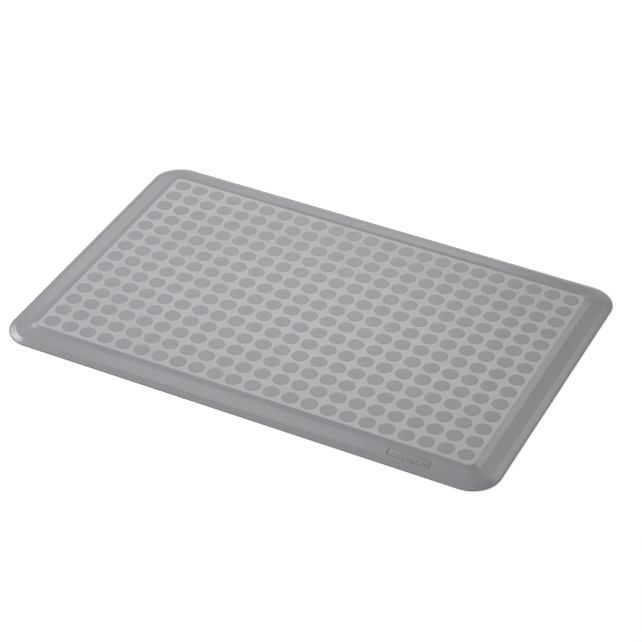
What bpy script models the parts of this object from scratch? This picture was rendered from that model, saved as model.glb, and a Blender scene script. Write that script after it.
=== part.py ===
"""Anti fatigue mat: a low cushioned floor mat with a raised, dotted standing pad and bevelled edges.

Metres, +Z up. The origin is on the floor, under the middle of the mat. +X runs along the long sides,
and -Y faces the long side that carries the badge. The mat is built up from the floor as an underside
sheet, a foam core, a moulded skin with bevelled edges, and a pad sheet with raised dots on top.
"""

import math

import bmesh
import bpy
from mathutils import Matrix

MM = 0.001

# Overall size
LENGTH = 900 * MM
WIDTH = 600 * MM
THICKNESS = 13 * MM
CORNER_RADIUS = 52 * MM
CORNER_STEPS = 10
FIT_GAP = 0.3 * MM

# The dots of the standing pad
DOT_COLUMNS = 23
DOT_ROWS = 14
DOT_PITCH_X = 34.7 * MM
DOT_PITCH_Y = 35.65 * MM
DOT_DIAMETER = 28 * MM
DOT_RELIEF = 0.2 * MM
DOT_SIDES = 8
DOT_ROOT = 0.6 * MM

# The layers, from the floor up
SHEET_THICKNESS = 1.5 * MM
PAD_THICKNESS = 1.2 * MM
PAD_TOP = THICKNESS - DOT_RELIEF
PAD_BOTTOM = PAD_TOP - PAD_THICKNESS
POCKET_FLOOR = PAD_BOTTOM - FIT_GAP

# Sections of the skin, as (distance in from the outer edge, height) of each bend, from the edge inwards
LIP = ((0 * MM, 1.2 * MM), (0.3 * MM, 1.7 * MM), (1.1 * MM, 2.2 * MM))
RAMP_FOOT = (11.6 * MM, 6.0 * MM)
RAMP_HEAD = (36.0 * MM, 9.8 * MM)
RISER_HEAD = (46.4 * MM, 12.6 * MM)
POCKET_INSET = 47.2 * MM
RIM_WIDTH = 6 * MM
CAVITY = ((RIM_WIDTH, 2.4 * MM), (12 * MM, 3.9 * MM), (36.3 * MM, 8.0 * MM), (44.5 * MM, 9.6 * MM))
CORE_GAP = 0.4 * MM
CUT_MARGIN = 2 * MM

# The badge, let into the ramp of the near long side towards the +X end
BADGE_SIZE = (73.6 * MM, 14.4 * MM)
BADGE_THICKNESS = 0.8 * MM
BADGE_SINK = 0.1 * MM
BADGE_X = 303 * MM
BADGE_INSET = 24.4 * MM
BADGE_CORNER = 1.5 * MM

SKIN_COLOUR = (0.33, 0.33, 0.36)
PAD_COLOUR = (0.42, 0.42, 0.45)
FOAM_COLOUR = (0.16, 0.16, 0.17)
SHEET_COLOUR = (0.10, 0.10, 0.11)
BADGE_COLOUR = (0.29, 0.29, 0.32)


def clear_scene():
    for obj in list(bpy.data.objects):
        bpy.data.objects.remove(obj, do_unlink=True)


def new_collection(name):
    collection = bpy.data.collections.new(name)
    bpy.context.scene.collection.children.link(collection)
    return collection


def new_material(name, colour, roughness):
    material = bpy.data.materials.new(name)
    material.use_nodes = True
    shader = material.node_tree.nodes["Principled BSDF"]
    shader.inputs["Base Color"].default_value = (*colour, 1)
    shader.inputs["Roughness"].default_value = roughness
    shader.inputs["Metallic"].default_value = 0
    return material


def new_object(name, bm, collection, material=None):
    bmesh.ops.recalc_face_normals(bm, faces=bm.faces[:])
    mesh = bpy.data.meshes.new(name)
    bm.to_mesh(mesh)
    bm.free()
    obj = bpy.data.objects.new(name, mesh)
    if material:
        mesh.materials.append(material)
    else:
        obj.hide_render = True
        obj.display_type = "WIRE"
    collection.objects.link(obj)
    return obj


def box_mesh(size, low, high, corner):
    """A box of the given plan size between two heights, with its upright edges rounded."""
    bm = bmesh.new()
    placed = Matrix.Translation((0, 0, (low + high) / 2))
    bmesh.ops.create_cube(bm, size=1, matrix=placed @ Matrix.Diagonal((*size, high - low, 1)))
    uprights = [edge for edge in bm.edges if edge.verts[0].co.xy == edge.verts[1].co.xy]
    bmesh.ops.bevel(
        bm, geom=uprights, offset=corner, segments=CORNER_STEPS, profile=0.5, affect="EDGES"
    )
    return bm


def stepped_mesh(floor, section):
    """A rounded slab whose top climbs inwards through the bends of a section."""
    inset, height = section[0]
    plan = (LENGTH - 2 * inset, WIDTH - 2 * inset)
    bm = box_mesh(plan, floor, height, CORNER_RADIUS - inset)
    top = max(bm.faces, key=lambda face: face.calc_center_median().z)
    for next_inset, next_height in section[1:]:
        bmesh.ops.inset_individual(
            bm,
            faces=[top],
            thickness=next_inset - inset,
            depth=next_height - height,
            use_even_offset=True,
        )
        inset, height = next_inset, next_height
    return bm


def boolean(obj, operation, other):
    modifier = obj.modifiers.new(f"{operation.lower()} {other.name}", "BOOLEAN")
    modifier.operation = operation
    modifier.object = other


def place_on_ramp(obj):
    """Lays an object on the near ramp at the badge's place, tilted with it."""
    run = RAMP_HEAD[0] - RAMP_FOOT[0]
    rise = RAMP_HEAD[1] - RAMP_FOOT[1]
    height = RAMP_FOOT[1] + (BADGE_INSET - RAMP_FOOT[0]) * rise / run
    obj.location = (BADGE_X, BADGE_INSET - WIDTH / 2, height)
    obj.rotation_euler.x = math.atan2(rise, run)


def make_outer_skin(mat, cutters):
    """The moulded skin: solid rim, bevelled edges, open underneath, with a pocket for the pad on top."""
    pocket = ((POCKET_INSET, PAD_TOP), (POCKET_INSET, POCKET_FLOOR))
    outside = (*LIP, RAMP_FOOT, RAMP_HEAD, RISER_HEAD, *pocket)
    skin = new_object(
        "outer_skin", stepped_mesh(0, outside), mat, new_material("skin", SKIN_COLOUR, 0.55)
    )
    cavity = new_object("skin_cavity", stepped_mesh(-CUT_MARGIN, CAVITY), cutters)
    boolean(skin, "DIFFERENCE", cavity)

    opening = [side + 2 * FIT_GAP for side in BADGE_SIZE]
    recess_floor = -BADGE_SINK - BADGE_THICKNESS - FIT_GAP
    recess = new_object(
        "badge_recess",
        box_mesh(opening, recess_floor, CUT_MARGIN, BADGE_CORNER + FIT_GAP),
        cutters,
    )
    place_on_ramp(recess)
    boolean(skin, "DIFFERENCE", recess)


def make_dot_field(mat, cutters):
    """The pad sheet that is stood on, set in the skin's pocket, with a grid of low round dots."""
    pad = box_mesh(
        [side - 2 * (POCKET_INSET + FIT_GAP) for side in (LENGTH, WIDTH)],
        PAD_BOTTOM,
        PAD_TOP,
        CORNER_RADIUS - POCKET_INSET - FIT_GAP,
    )
    field = new_object("dot_field", pad, mat, new_material("pad", PAD_COLOUR, 0.8))

    bm = bmesh.new()
    bmesh.ops.create_cone(
        bm,
        cap_ends=True,
        segments=DOT_SIDES,
        radius1=DOT_DIAMETER / 2,
        radius2=DOT_DIAMETER / 2,
        depth=DOT_RELIEF + DOT_ROOT,
        matrix=Matrix.Rotation(math.pi / DOT_SIDES, 4, "Z"),
    )
    dots = new_object("dots", bm, cutters)
    dots.location = (
        -DOT_PITCH_X * (DOT_COLUMNS - 1) / 2,
        -DOT_PITCH_Y * (DOT_ROWS - 1) / 2,
        THICKNESS - (DOT_RELIEF + DOT_ROOT) / 2,
    )
    steps = ((DOT_COLUMNS, (DOT_PITCH_X, 0, 0)), (DOT_ROWS, (0, DOT_PITCH_Y, 0)))
    for count, step in steps:
        array = dots.modifiers.new("dot line", "ARRAY")
        array.count = count
        array.use_relative_offset = False
        array.use_constant_offset = True
        array.constant_offset_displace = step
    boolean(field, "UNION", dots)


def make_foam_core(mat):
    """The closed-cell foam that fills the skin and gives the mat its cushioning."""
    section = [(inset + CORE_GAP, height - CORE_GAP) for inset, height in CAVITY]
    bm = stepped_mesh(SHEET_THICKNESS + FIT_GAP, section)
    new_object("foam_core", bm, mat, new_material("foam", FOAM_COLOUR, 0.95))


def make_base_sheet(mat):
    """The non-slip sheet that closes the underside, flush with the foot of the rim."""
    bm = stepped_mesh(0, [(RIM_WIDTH + FIT_GAP, SHEET_THICKNESS)])
    new_object("base_sheet", bm, mat, new_material("underside", SHEET_COLOUR, 0.9))


def make_badge_plate(mat):
    """The blank plate let into the ramp."""
    bm = box_mesh(BADGE_SIZE, -BADGE_SINK - BADGE_THICKNESS, -BADGE_SINK, BADGE_CORNER)
    plate = new_object("badge_plate", bm, mat, new_material("badge", BADGE_COLOUR, 0.5))
    place_on_ramp(plate)


def main():
    clear_scene()
    mat = new_collection("anti_fatigue_mat")
    cutters = new_collection("cutters")
    make_outer_skin(mat, cutters)
    make_dot_field(mat, cutters)
    make_foam_core(mat)
    make_base_sheet(mat)
    make_badge_plate(mat)


main()
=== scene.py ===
"""Looks of the anti fatigue mat: moulded skin, dotted standing pad, foam core, grip underside and badge.

Everything is in metres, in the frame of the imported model: +Z up, origin on the floor under the middle
of the mat, +X along the long sides, and the badge on the -Y side.
"""

import math

import bmesh
import bpy
import numpy as np
from mathutils import Matrix, Vector


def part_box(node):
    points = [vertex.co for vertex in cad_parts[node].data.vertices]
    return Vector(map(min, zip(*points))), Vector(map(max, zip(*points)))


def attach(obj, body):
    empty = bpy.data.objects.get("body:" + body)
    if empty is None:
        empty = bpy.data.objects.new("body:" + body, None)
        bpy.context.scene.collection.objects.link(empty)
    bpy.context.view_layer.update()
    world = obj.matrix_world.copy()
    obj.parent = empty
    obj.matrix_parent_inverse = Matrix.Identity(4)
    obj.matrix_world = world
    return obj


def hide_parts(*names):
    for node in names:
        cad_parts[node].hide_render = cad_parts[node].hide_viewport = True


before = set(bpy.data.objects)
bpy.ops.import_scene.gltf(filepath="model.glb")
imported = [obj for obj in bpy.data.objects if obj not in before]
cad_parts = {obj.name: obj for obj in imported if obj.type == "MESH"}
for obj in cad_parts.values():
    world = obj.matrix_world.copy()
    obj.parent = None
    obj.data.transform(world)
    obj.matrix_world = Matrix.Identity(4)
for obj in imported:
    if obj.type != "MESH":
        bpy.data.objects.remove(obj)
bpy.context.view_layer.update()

MM = 0.001

# The boxes of the frame's nodes that the pieces are fitted to
SKIN_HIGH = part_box("outer_skin")[1]
PAD_LOW, PAD_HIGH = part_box("dot_field")
SHEET_LOW, SHEET_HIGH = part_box("base_sheet")
BADGE_LOW, BADGE_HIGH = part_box("badge_plate")

# The mat's outline. A line further in has a smaller corner radius, by this share of its inset
HALF_LENGTH = SKIN_HIGH.x
HALF_WIDTH = SKIN_HIGH.y
CORNER_RADIUS = 52 * MM
CORNER_TIGHTENING = 0.89

# How finely the outline and the fillets are divided, and the bend from which an edge is sharp
CORNER_STEPS = 24
SIDE_STEP = 20 * MM
SIDE_CLEARANCE = 0.4 * MM
FILLET_STEP = math.radians(6)
FILLET_LEAST_STEPS = 4
SHARP_ANGLE = 40

# The pad and its dots
DOT_COLUMNS = 23
DOT_ROWS = 14
DOT_PITCH_X = 34.7 * MM
DOT_PITCH_Y = 35.65 * MM
DOT_RADIUS = 14 * MM
DOT_RELIEF = 0.2 * MM
DOT_SHOULDER = 1.0 * MM
DOT_ROOT = 0.25 * MM
DOT_FOOT = 0.001 * MM
DOT_STEPS = 36
SHOULDER_SHARES = (0.2, 0.4, 0.6, 0.8, 1)
PAD_TOP = PAD_HIGH.z - DOT_RELIEF
PAD_BOTTOM = PAD_LOW.z
POCKET_INSET = 47.25 * MM
POCKET_FLOOR = PAD_BOTTOM - 0.3 * MM
SEAM = 0.05 * MM
PAD_EDGE = POCKET_INSET + SEAM
PAD_MARGIN = 3 * MM

# Sections, as (distance in from the outer edge, height, fillet radius) of each of their points.
# The skin's goes from the pocket over the riser, the ramp and the bevel to the lip, and back under it
# to the cavity for the foam
RAMP_FOOT = (11.6 * MM, 6.0 * MM)
RAMP_HEAD = (36.3 * MM, 9.8 * MM)
SKIN_SECTION = (
    (POCKET_INSET, POCKET_FLOOR, 0),
    (POCKET_INSET, PAD_TOP, 0.2 * MM),
    (46.8 * MM, 12.72 * MM, 1.5 * MM),
    (*RAMP_HEAD, 25 * MM),
    (*RAMP_FOOT, 10 * MM),
    (0.35 * MM, 2.1 * MM, 0.6 * MM),
    (0, 1.6 * MM, 0.3 * MM),
    (0, 0, 0.15 * MM),
    (6.0 * MM, 0, 0.2 * MM),
    (6.0 * MM, 2.4 * MM, 0),
    (12.0 * MM, 3.9 * MM, 0),
    (RAMP_HEAD[0], 8.0 * MM, 0),
    (44.5 * MM, 9.6 * MM, 0),
)
PAD_SECTION = (
    (PAD_EDGE + PAD_MARGIN, PAD_BOTTOM, 0),
    (PAD_EDGE, PAD_BOTTOM, 0.1 * MM),
    (PAD_EDGE, PAD_TOP, 0.25 * MM),
    (PAD_EDGE + PAD_MARGIN, PAD_TOP, 0),
)
FOAM_SECTION = (
    (9 * MM, 1.8 * MM, 0),
    (6.4 * MM, 1.8 * MM, 0.05 * MM),
    (6.4 * MM, 2.0 * MM, 0.05 * MM),
    (12.4 * MM, 3.5 * MM, 6 * MM),
    (36.7 * MM, 7.6 * MM, 10 * MM),
    (44.9 * MM, 9.2 * MM, 4 * MM),
    (47 * MM, 9.2 * MM, 0),
)

# The badge, with its face and back measured up from the ramp
BADGE_CENTRE = (BADGE_LOW + BADGE_HIGH) / 2
BADGE_HALF = (36.6 * MM, 7.0 * MM)
BADGE_CORNER = 1.5 * MM
BADGE_FACE = -0.15 * MM
BADGE_BACK = -0.9 * MM
BADGE_ROUNDING = 0.45 * MM
BADGE_STUDS = 8
STUD_RISE = 0.35 * MM
STUD_ROOT = 0.3 * MM
STUD_RADIUS = 2.8 * MM
STUD_MARGIN = 3 * MM
STUD_STEPS = 40

# The recess that the badge lies in. It is pressed only into points of the skin above its lowest height
RECESS_GAP = 0.9 * MM
RECESS_DEPTH = 1.1 * MM
RECESS_LIP = 0.5 * MM
RECESS_LIP_WIDTH = 1.5 * MM
RECESS_WALL = 0.2 * MM
RECESS_LOWEST = RAMP_FOOT[1] - 1 * MM

# Where closer points are set to shape the recess: shares of its lip's width, and places further in
LIP_SHARES = (1, 0.8, 0.6, 0.42, 0.28, 0.16, 0.07, 0)
INNER_PLACES = (RECESS_WALL / 2, 0, -1.5 * MM, -3 * MM)

# Underside grip studs
SHEET_INSET = HALF_LENGTH - SHEET_HIGH.x
GRIP_PITCH = 12 * MM
GRIP_MARGIN = 15 * MM
GRIP_DEPTH = 0.5 * MM
GRIP_CHANNEL = 1.2 * MM
GRIP_DRAFT = 0.4 * MM
GRIP_SHARP_ANGLE = 25

# Colours
SKIN_COLOUR = (0.284, 0.283, 0.301)
PAD_COLOUR = (0.413, 0.411, 0.434)
DOT_COLOUR = (0.274, 0.273, 0.291)
BADGE_COLOUR = (0.262, 0.261, 0.277)
FOAM_COLOUR = (0.16, 0.16, 0.17)
RUBBER_COLOUR = (0.10, 0.10, 0.11)
FLOOR_COLOUR = (0.9, 0.9, 0.9)
WHITE = (1, 1, 1, 1)

# The line of painted shade round the foot of the rim, dark and dull: its painted shade, and the heights
# over which its painted shade and its dullness fade out
PAINTED_FOOT_SHADE = 0.5
PAINTED_SHADE_BAND = (1.5 * MM, 2.2 * MM)
DULL_BAND = (1.8 * MM, 3.2 * MM)
FULL_SPECULAR = 0.5

# How far the roughness of a moulded part changes either way
SHEEN_CHANGE = 0.02

# Painted light across the pad and its dots: (centre, reach, shade in the middle, shade at the reach)
FIELD_PAINTED_LIGHT = ((0.12, -0.05), (0.47, 0.27), 1.09, 0.955)
DOT_PAINTED_LIGHT = ((0.0, -0.06), (0.60, 0.27), 1.04, 0.94)

# Camera
CAMERA_PLACE = (1.374, -2.913, 2.426)
CAMERA_TARGET = (0.0163, -0.0062, 0.0)
CAMERA_ROLL = math.radians(1.48)
CAMERA_LENS = 131.5
CAMERA_SENSOR = 36
CAMERA_REACH = 100

# Floor and light. A soft box is (name, azimuth, elevation, power)
FLOOR_SIZE = 40
FLOOR_DROP = 0.05 * MM
FLOOR_GLOW = 0.36
WORLD_STRENGTH = 0.2
SOFT_BOX_SIZE = 0.9
SOFT_BOX_DISTANCE = 2.5
SOFT_BOXES = (
    ("front", 180, 22, 30),
    ("side_left", -90, 38, 21),
    ("side_left_low", -75, 30, 8),
    ("back_left", -42, 30, 4),
    ("back_left_high", -42, 54, 5),
    ("back", -20, 30, 12),
    ("back_low", 10, 15, 2),
    ("back_right", 26, 43, 7.5),
)


# ---------------------------------------------------------------- materials


class Nodes:
    """A small helper that adds nodes to a material and links them."""

    def __init__(self, name):
        self.material = bpy.data.materials.new(name)
        self.material.use_nodes = True
        self.tree = self.material.node_tree
        self.shader = self.tree.nodes["Principled BSDF"]
        self.place = self.add("ShaderNodeTexCoord").outputs["Object"]

    def add(self, kind, **settings):
        node = self.tree.nodes.new(kind)
        for key, value in settings.items():
            if key in node.inputs:
                node.inputs[key].default_value = value
            else:
                setattr(node, key, value)
        return node

    def link(self, source, target):
        self.tree.links.new(source, target)

    def noise(self, scale, detail=3.0, roughness=0.5):
        node = self.add("ShaderNodeTexNoise", Scale=scale, Detail=detail, Roughness=roughness)
        self.link(self.place, node.inputs["Vector"])
        return node.outputs["Fac"]

    def cells(self, scale, feature="F1"):
        node = self.add("ShaderNodeTexVoronoi", Scale=scale, feature=feature)
        self.link(self.place, node.inputs["Vector"])
        return node.outputs["Distance"]

    def height(self):
        node = self.add("ShaderNodeSeparateXYZ")
        self.link(self.place, node.inputs["Vector"])
        return node.outputs["Z"]

    def falloff(self, centre, reach):
        """Rises from 0 at a place on the mat to 1 at its reach along X and Y, as a square law."""
        shift = self.add("ShaderNodeVectorMath", operation="SUBTRACT")
        self.link(self.place, shift.inputs[0])
        shift.inputs[1].default_value = (*centre, 0)
        scale = self.add("ShaderNodeVectorMath", operation="DIVIDE")
        self.link(shift.outputs["Vector"], scale.inputs[0])
        scale.inputs[1].default_value = (*reach, 1)
        square = self.add("ShaderNodeVectorMath", operation="DOT_PRODUCT")
        for socket in square.inputs[:2]:
            self.link(scale.outputs["Vector"], socket)
        return square.outputs["Value"]

    def spread(self, value, low=0, high=1, start=0.3, end=0.7):
        """Maps start to low and end to high. A texture usually lies between 0.3 and 0.7."""
        node = self.add("ShaderNodeMapRange")
        for key, number in (("From Min", start), ("From Max", end), ("To Min", low), ("To Max", high)):
            node.inputs[key].default_value = number
        self.link(value, node.inputs["Value"])
        return node.outputs["Result"]

    def combine(self, operation, first, second):
        """Two value outputs put together, for example added."""
        node = self.add("ShaderNodeMath", operation=operation)
        self.link(first, node.inputs[0])
        self.link(second, node.inputs[1])
        return node.outputs["Value"]

    def mottled(self, factor, colour, dark, light):
        """A colour that goes from its dark shade to its light shade with a value output."""
        node = self.add("ShaderNodeMix", data_type="RGBA")
        self.link(factor, node.inputs["Factor"])
        sockets = [socket for socket in node.inputs if socket.type == "RGBA"]
        for socket, change in zip(sockets, (dark, light)):
            socket.default_value = (*(channel * change for channel in colour), 1)
        return next(socket for socket in node.outputs if socket.type == "RGBA")

    def shade(self, colour, value):
        """A colour output made lighter or darker by a value output."""
        node = self.add("ShaderNodeVectorMath", operation="SCALE")
        self.link(colour, node.inputs[0])
        self.link(value, node.inputs["Scale"])
        return node.outputs["Vector"]

    def with_painted_light(self, colour, painted_light):
        """A colour output with painted light across the mat, as (centre, reach, middle, edge)."""
        centre, reach, middle, edge = painted_light
        return self.shade(colour, self.spread(self.falloff(centre, reach), middle, edge, 0, 1))

    def colour(self, output):
        self.link(output, self.shader.inputs["Base Color"])

    def specular(self, output):
        self.link(output, self.shader.inputs["Specular IOR Level"])

    def roughness(self, output):
        self.link(output, self.shader.inputs["Roughness"])

    def bump(self, height, strength, distance):
        node = self.add("ShaderNodeBump", Strength=strength, Distance=distance)
        self.link(height, node.inputs["Height"])
        self.link(node.outputs["Normal"], self.shader.inputs["Normal"])


def moulded_material(name, colour, roughness, grain, painted_light=None, foot=False):
    """Smooth moulded polyurethane: faint cloudy colour, uneven sheen and a very fine skin grain.

    foot paints shade in a dark, dull line round the bottom of the rim; tone, if given, is painted light
    across the mat.
    """
    nodes = Nodes(name)
    clouds = nodes.spread(nodes.noise(scale=14, detail=4))
    face = nodes.mottled(clouds, colour, dark=0.98, light=1.02)
    # Painted light across the mat, lighter in the middle and darker towards the edges, where it is given
    if painted_light:
        face = nodes.with_painted_light(face, painted_light)
    # Painted shade: the colour darkens towards the floor in a line round the foot of the rim, which is
    # made dull too
    if foot:
        face = nodes.shade(face, nodes.spread(nodes.height(), PAINTED_FOOT_SHADE, 1, *PAINTED_SHADE_BAND))
        nodes.specular(nodes.spread(nodes.height(), 0, FULL_SPECULAR, *DULL_BAND))
    nodes.colour(face)
    sheen = nodes.noise(scale=60)
    nodes.roughness(nodes.spread(sheen, roughness - SHEEN_CHANGE, roughness + SHEEN_CHANGE))
    fine_grain = nodes.noise(scale=1400, detail=2, roughness=0.6)
    nodes.bump(fine_grain, strength=grain, distance=0.05 * MM)
    return nodes.material


def pad_material(name, colour, painted_light):
    """The field between the dots: a lighter, dull surface with a fine pebbled grain."""
    nodes = Nodes(name)
    clouds = nodes.spread(nodes.noise(scale=9, detail=4))
    # Painted light across the field: lighter in the middle of the pad, darker towards its edges
    nodes.colour(nodes.with_painted_light(nodes.mottled(clouds, colour, dark=0.98, light=1.02), painted_light))
    nodes.roughness(nodes.spread(nodes.noise(scale=200, detail=2), low=0.46, high=0.54))
    cells = nodes.cells(scale=900, feature="SMOOTH_F1")
    pebbles = nodes.combine("ADD", cells, nodes.noise(scale=2200, detail=2))
    nodes.bump(pebbles, strength=0.35, distance=0.08 * MM)
    return nodes.material


def foam_material(name, colour):
    """Closed-cell foam: small round cells, darkest at their centres."""
    nodes = Nodes(name)
    cells = nodes.cells(scale=1100)
    nodes.colour(nodes.mottled(nodes.spread(cells, start=0.1, end=0.6), colour, dark=0.7, light=1.15))
    nodes.roughness(nodes.spread(nodes.noise(scale=300), low=0.88, high=0.98))
    nodes.bump(cells, strength=0.8, distance=0.2 * MM)
    return nodes.material


def rubber_material(name, colour):
    """The underside: dull rubber with a light bloom."""
    nodes = Nodes(name)
    bloom = nodes.combine("MULTIPLY", nodes.noise(scale=22, detail=5), nodes.noise(scale=160))
    nodes.colour(nodes.mottled(nodes.spread(bloom, start=0.15, end=0.4), colour, dark=0.85, light=1.3))
    nodes.roughness(nodes.spread(nodes.noise(scale=80), low=0.72, high=0.88))
    nodes.bump(nodes.noise(scale=1800, detail=2), strength=0.4, distance=0.06 * MM)
    return nodes.material


def floor_material(name, colour):
    """A plain dull surface that glows a little, so that it stays nearly white."""
    nodes = Nodes(name)
    settings = (
        ("Base Color", (*colour, 1)),
        ("Roughness", 0.9),
        ("Specular IOR Level", 0.1),
        ("Emission Color", WHITE),
        ("Emission Strength", FLOOR_GLOW),
    )
    for key, value in settings:
        nodes.shader.inputs[key].default_value = value
    return nodes.material


# ---------------------------------------------------------------- meshes and pieces


def mesh_from_points(name, points, faces):
    """A mesh with its faces turned outwards."""
    mesh = bpy.data.meshes.new(name)
    mesh.from_pydata([tuple(point) for point in points], [], faces)
    mesh.validate()
    bm = bmesh.new()
    bm.from_mesh(mesh)
    bmesh.ops.recalc_face_normals(bm, faces=bm.faces[:])
    bm.to_mesh(mesh)
    bm.free()
    return mesh


def mesh_from_bmesh(name, bm):
    mesh = bpy.data.meshes.new(name)
    bm.to_mesh(mesh)
    bm.free()
    return mesh


def new_piece(mesh, material, node, sharp=SHARP_ANGLE):
    """Makes a mesh into a piece on the mat's body, in place of a node of the frame."""
    mesh.materials.append(material)
    mesh.shade_smooth()
    mesh.set_sharp_from_angle(angle=math.radians(sharp))
    piece = bpy.data.objects.new(mesh.name, mesh)
    bpy.context.scene.collection.objects.link(piece)
    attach(piece, "root")
    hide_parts(node)
    return piece


# ---------------------------------------------------------------- sections and lines round the mat


def filleted(section):
    """The points of a section, with each bend that has a radius turned into an arc."""
    corners = [Vector(point[:2]) for point in section]
    points = [corners[0]]
    for k in range(1, len(corners) - 1):
        corner, radius = corners[k], section[k][2]
        if radius == 0:
            points.append(corner)
            continue
        before = (corner - corners[k - 1]).normalized()
        after = (corners[k + 1] - corner).normalized()
        turn = before.angle_signed(after)
        start = corner - before * radius * math.tan(abs(turn) / 2)
        normal = Vector((before.y, -before.x)) * math.copysign(1, turn)
        centre = start + normal * radius
        steps = max(FILLET_LEAST_STEPS, math.ceil(abs(turn) / FILLET_STEP))
        for step in range(steps + 1):
            spin = Matrix.Rotation(-turn * step / steps, 2)
            points.append(centre + spin @ (start - centre))
    points.append(corners[-1])
    return points


def arc_points(x, y, radius, start):
    """The points inside a quarter turn round (x, y), without its two ends."""
    angles = [math.radians(start + 90 * step / CORNER_STEPS) for step in range(1, CORNER_STEPS)]
    return [(x + radius * math.cos(angle), y + radius * math.sin(angle)) for angle in angles]


def ring(inset, height, xs, ys):
    """One closed line round the mat: its near side, and then on round by the +X end."""
    radius = CORNER_RADIUS - inset * CORNER_TIGHTENING
    x, y = HALF_LENGTH - inset - radius, HALF_WIDTH - inset - radius
    xs, ys = [-x, *xs[1:-1], x], [-y, *ys[1:-1], y]
    line = [(along, -y - radius) for along in xs]
    line += arc_points(x, -y, radius, -90)
    line += [(x + radius, along) for along in ys]
    line += arc_points(x, y, radius, 0)
    line += [(along, y + radius) for along in reversed(xs)]
    line += arc_points(-x, y, radius, 90)
    line += [(-x - radius, along) for along in reversed(ys)]
    line += arc_points(-x, -y, radius, 180)
    return [(*place, height) for place in line]


def side_places(half, extra=()):
    """Places along a straight side: an even spacing, plus closer ones where they are needed."""
    straight = half - CORNER_RADIUS
    count = round(2 * straight / SIDE_STEP)
    places = [-straight + 2 * straight * k / count for k in range(count + 1)]
    kept = [place for place in places[1:-1] if all(abs(place - near) > SIDE_CLEARANCE for near in extra)]
    return sorted([places[0], *kept, *extra, places[-1]])


def joined_rings(rings, size):
    """Faces between rings of points that follow each other in one list, each ring of the same size."""
    faces = []
    for low in range(0, (rings - 1) * size, size):
        high = low + size
        for k in range(size):
            after = (k + 1) % size
            faces.append((low + k, low + after, high + after, high + k))
    return faces


def loft(section, xs=side_places(HALF_LENGTH), ys=side_places(HALF_WIDTH)):
    """Points and faces of the closed body that a section makes round the mat."""
    rings = [ring(inset, height, xs, ys) for inset, height in section]
    size = len(rings[0])
    last = (len(rings) - 1) * size
    faces = joined_rings(len(rings), size)
    faces.append(tuple(range(size)))
    faces.append(tuple(range(last + size - 1, last - 1, -1)))
    return np.array([point for line in rings for point in line]), faces


# ---------------------------------------------------------------- skin, pad and foam


def rounded_distance(points, centre, half, corner):
    """How far points lie outside a rounded rectangle in plan. Negative is inside."""
    away = np.abs(points - np.array(centre)) - (np.array(half) - corner)
    outside = np.linalg.norm(np.maximum(away, 0), axis=1)
    return outside + np.minimum(away.max(axis=1), 0) - corner


def recess_drop(distance):
    """Depth of the badge's recess, by the distance outside its opening: rounded lip, wall and floor."""
    lip = np.clip((RECESS_WALL + RECESS_LIP_WIDTH - distance) / RECESS_LIP_WIDTH, 0, 1)
    lip_drop = RECESS_LIP * (1 - np.sqrt(1 - lip**2))
    wall = np.clip((RECESS_WALL - distance) / RECESS_WALL, 0, 1)
    return lip_drop + (RECESS_DEPTH - RECESS_LIP) * wall


def with_rows(section, rows):
    """A section with more points in its upper side, at the insets where the recess needs them."""
    points = []
    for here, there in zip(section, section[1:]):
        points.append(here)
        if here.x > there.x and here.y > RECESS_LOWEST:
            for row in sorted((row for row in rows if there.x < row < here.x), reverse=True):
                points.append(here.lerp(there, (here.x - row) / (here.x - there.x)))
    points.append(section[-1])
    return points


def make_skin():
    """The moulded skin, with the recess for the badge pressed into its ramp."""
    offsets = [RECESS_WALL + RECESS_LIP_WIDTH * share for share in LIP_SHARES]
    offsets += INNER_PLACES
    opening = [half + RECESS_GAP for half in BADGE_HALF]
    columns = [BADGE_CENTRE.x + side * (opening[0] + offset) for side in (-1, 1) for offset in offsets]
    inset = HALF_WIDTH + BADGE_CENTRE.y
    rows = [inset + side * (opening[1] + offset) for side in (-1, 1) for offset in offsets]

    points, faces = loft(with_rows(filleted(SKIN_SECTION), rows), side_places(HALF_LENGTH, columns))
    corner = BADGE_CORNER + RECESS_GAP
    distance = rounded_distance(points[:, :2], BADGE_CENTRE[:2], opening, corner)
    points[:, 2] -= np.where(points[:, 2] > RECESS_LOWEST, recess_drop(distance), 0)
    mesh = mesh_from_points("skin_shell", points, faces)
    # The skin carries the painted shade round the foot of its rim
    material = moulded_material("moulded skin", SKIN_COLOUR, roughness=0.24, grain=0.02, foot=True)
    new_piece(mesh, material, "outer_skin")


def make_pad():
    """The pad sheet, with softened edges."""
    mesh = mesh_from_points("pad_sheet", *loft(filleted(PAD_SECTION)))
    material = pad_material("pad grain", PAD_COLOUR, FIELD_PAINTED_LIGHT)
    piece = new_piece(mesh, material, "dot_field")


def dot_profile():
    """A dot's (radius, height over the pad) from its root below the pad's surface to its flat top.

    The shoulder between them is rounded both at its foot and at its head.
    """
    profile = [(DOT_RADIUS + DOT_SHOULDER / 2, height) for height in (-DOT_ROOT, DOT_FOOT)]
    for share in SHOULDER_SHARES:
        rise = share * share * (3 - 2 * share) * DOT_RELIEF
        profile.append((DOT_RADIUS + (0.5 - share) * DOT_SHOULDER, rise))
    profile.append((DOT_RADIUS - 1.5 * DOT_SHOULDER, DOT_RELIEF))
    return profile


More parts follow.
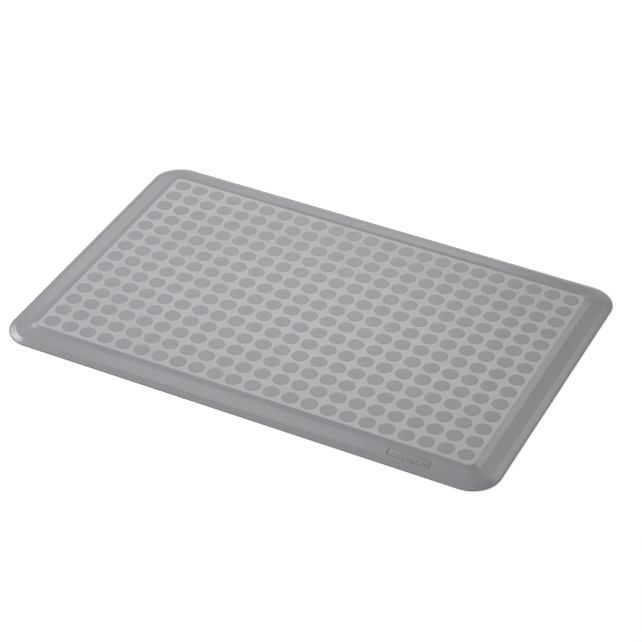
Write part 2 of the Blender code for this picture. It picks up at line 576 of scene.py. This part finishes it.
def make_dots():
    """The grid of low round dots."""
    profile = dot_profile()
    angles = np.arange(DOT_STEPS) * 2 * math.pi / DOT_STEPS
    circle = np.stack([np.cos(angles), np.sin(angles), np.zeros(DOT_STEPS)], 1)
    dot = np.concatenate([circle * radius + (0, 0, height) for radius, height in profile])
    top = len(dot) - DOT_STEPS
    dot_faces = [tuple(range(DOT_STEPS - 1, -1, -1))]
    dot_faces += joined_rings(len(profile), DOT_STEPS)
    dot_faces.append(tuple(range(top, top + DOT_STEPS)))

    points, faces = [], []
    for row in range(DOT_ROWS):
        for column in range(DOT_COLUMNS):
            x = (column - (DOT_COLUMNS - 1) / 2) * DOT_PITCH_X
            y = (row - (DOT_ROWS - 1) / 2) * DOT_PITCH_Y
            first = len(points) * len(dot)
            points.append(dot + (x, y, PAD_TOP))
            faces += [tuple(first + k for k in face) for face in dot_faces]
    mesh = mesh_from_points("pad_dots", np.concatenate(points), faces)
    material = moulded_material("dot face", DOT_COLOUR, roughness=0.45, grain=0.03, painted_light=DOT_PAINTED_LIGHT)
    new_piece(mesh, material, "dot_field")


def make_foam():
    """The foam core: a soft-edged block that fills the skin."""
    mesh = mesh_from_points("foam_block", *loft(filleted(FOAM_SECTION)))
    piece = new_piece(mesh, foam_material("foam cells", FOAM_COLOUR), "foam_core")


# ---------------------------------------------------------------- underside and badge


def add_grip_studs(bm):
    """Square studs between shallow channels. Gives back the edges round them all."""
    half = [size - SHEET_INSET - GRIP_MARGIN for size in (HALF_LENGTH, HALF_WIDTH)]
    place = Matrix.Translation((0, 0, GRIP_DEPTH)) @ Matrix.Diagonal((2 * half[0], 2 * half[1], 1, 1))
    counts = [round(2 * size / GRIP_PITCH) for size in half]
    bmesh.ops.create_grid(bm, x_segments=counts[0], y_segments=counts[1], size=0.5, matrix=place)
    studs = bm.faces[:]
    border = [edge for edge in bm.edges if edge.is_boundary]
    bmesh.ops.inset_individual(bm, faces=studs, thickness=GRIP_CHANNEL / 2, use_even_offset=True)
    bmesh.ops.inset_individual(
        bm, faces=studs, thickness=GRIP_DRAFT, depth=GRIP_DEPTH, use_even_offset=True
    )
    for stud in studs:
        for vertex in stud.verts:
            vertex.co.z = SHEET_LOW.z
    return border


def make_underside():
    """The underside sheet: the grip studs, a plain border round them, its wall and its flat top."""
    bm = bmesh.new()
    border = add_grip_studs(bm)
    line = ring(SHEET_INSET, GRIP_DEPTH, side_places(HALF_LENGTH), side_places(HALF_WIDTH))
    outline = [bm.verts.new(point) for point in line]
    outer = [bm.edges.new(ends) for ends in zip(outline, outline[1:] + outline[:1])]
    bmesh.ops.bridge_loops(bm, edges=border + outer)
    wall = bmesh.ops.extrude_edge_only(bm, edges=outer)["geom"]
    raised = {item for item in wall if isinstance(item, bmesh.types.BMVert)}
    for vertex in raised:
        vertex.co.z = SHEET_HIGH.z
    edges = [item for item in wall if isinstance(item, bmesh.types.BMEdge)]
    bmesh.ops.contextual_create(bm, geom=[edge for edge in edges if raised.issuperset(edge.verts)])
    bmesh.ops.recalc_face_normals(bm, faces=bm.faces[:])
    mesh = mesh_from_bmesh("grip_underside", bm)
    material = rubber_material("underside rubber", RUBBER_COLOUR)
    new_piece(mesh, material, "base_sheet", GRIP_SHARP_ANGLE)


def add_badge_plate(bm):
    """A thin plate with round corners and a softened face, flat and centred on the origin."""
    slab = Matrix.Translation((0, 0, (BADGE_FACE + BADGE_BACK) / 2))
    slab @= Matrix.Diagonal((2 * BADGE_HALF[0], 2 * BADGE_HALF[1], BADGE_FACE - BADGE_BACK, 1))
    bmesh.ops.create_cube(bm, size=1, matrix=slab)
    uprights = [edge for edge in bm.edges if edge.verts[0].co.z != edge.verts[1].co.z]
    bmesh.ops.bevel(bm, geom=uprights, offset=BADGE_CORNER, segments=8, profile=0.5, affect="EDGES")
    top = max(bm.faces, key=lambda face: face.calc_center_median().z)
    bmesh.ops.bevel(
        bm, geom=top.edges[:], offset=BADGE_ROUNDING, segments=5, profile=0.5, affect="EDGES"
    )


def add_badge_stud(bm, along):
    """A low round stud with a rounded rim, at a place along the plate."""
    low, high = BADGE_FACE - STUD_ROOT, BADGE_FACE + STUD_RISE
    stud = bmesh.ops.create_cone(
        bm,
        cap_ends=True,
        segments=STUD_STEPS,
        radius1=STUD_RADIUS,
        radius2=STUD_RADIUS,
        depth=high - low,
        matrix=Matrix.Translation((along, 0, (low + high) / 2)),
    )["verts"]
    edges = {edge for vertex in stud for edge in vertex.link_edges}
    rim = [edge for edge in edges if all(vertex.co.z > BADGE_FACE for vertex in edge.verts)]
    bmesh.ops.bevel(bm, geom=rim, offset=STUD_RISE, segments=4, profile=0.5, affect="EDGES")


def make_badge():
    """The badge: a thin plate sunk in its recess, with a plain row of low round studs."""
    bm = bmesh.new()
    add_badge_plate(bm)
    pitch = 2 * (BADGE_HALF[0] - STUD_MARGIN) / BADGE_STUDS
    for k in range(BADGE_STUDS):
        add_badge_stud(bm, (k - (BADGE_STUDS - 1) / 2) * pitch)

    slope = math.atan2(RAMP_HEAD[1] - RAMP_FOOT[1], RAMP_HEAD[0] - RAMP_FOOT[0])
    inset = HALF_WIDTH + BADGE_CENTRE.y
    height = RAMP_FOOT[1] + (inset - RAMP_FOOT[0]) * math.tan(slope)
    place = Matrix.Translation((BADGE_CENTRE.x, BADGE_CENTRE.y, height))
    bm.transform(place @ Matrix.Rotation(slope, 4, "X"))
    mesh = mesh_from_bmesh("badge", bm)
    material = moulded_material("badge face", BADGE_COLOUR, roughness=0.28, grain=0.02)
    new_piece(mesh, material, "badge_plate")


# ---------------------------------------------------------------- stage, light and camera


def make_stage():
    """A plain, nearly white floor, a hair below the mat so that no faces coincide."""
    bpy.ops.mesh.primitive_plane_add(size=FLOOR_SIZE, location=(0, 0, -FLOOR_DROP))
    floor = bpy.context.object
    floor.name = "floor"
    floor.data.materials.append(floor_material("pale floor", FLOOR_COLOUR))


def area_light(name, azimuth, elevation, power):
    """A soft box that faces the mat. Azimuth 0 is straight behind it, and turns towards +X."""
    data = bpy.data.lights.new(name, "AREA")
    data.shape = "SQUARE"
    data.size = SOFT_BOX_SIZE
    data.energy = power
    lamp = bpy.data.objects.new(name, data)
    turn, rise = math.radians(azimuth), math.radians(elevation)
    away = Vector((math.sin(turn) * math.cos(rise), math.cos(turn) * math.cos(rise), math.sin(rise)))
    lamp.location = away * SOFT_BOX_DISTANCE
    lamp.rotation_euler = away.to_track_quat("Z", "Y").to_euler()
    bpy.context.scene.collection.objects.link(lamp)


def make_light():
    """An even white surround and the soft boxes."""
    world = bpy.data.worlds.new("studio")
    world.use_nodes = True
    background = world.node_tree.nodes["Background"]
    background.inputs["Color"].default_value = WHITE
    background.inputs["Strength"].default_value = WORLD_STRENGTH
    bpy.context.scene.world = world
    for soft_box in SOFT_BOXES:
        area_light(*soft_box)


def make_camera():
    data = bpy.data.cameras.new("camera")
    data.lens = CAMERA_LENS
    data.sensor_width = CAMERA_SENSOR
    data.clip_end = CAMERA_REACH
    camera = bpy.data.objects.new("camera", data)
    gaze = Vector(CAMERA_TARGET) - Vector(CAMERA_PLACE)
    turn = gaze.to_track_quat("-Z", "Y").to_matrix() @ Matrix.Rotation(CAMERA_ROLL, 3, "Z")
    camera.matrix_world = Matrix.Translation(CAMERA_PLACE) @ turn.to_4x4()
    bpy.context.scene.collection.objects.link(camera)
    bpy.context.scene.camera = camera


def main():
    bpy.context.scene.view_settings.view_transform = "Standard"
    make_camera()
    make_skin()
    make_pad()
    make_dots()
    make_foam()
    make_underside()
    make_badge()
    make_stage()
    make_light()


main()
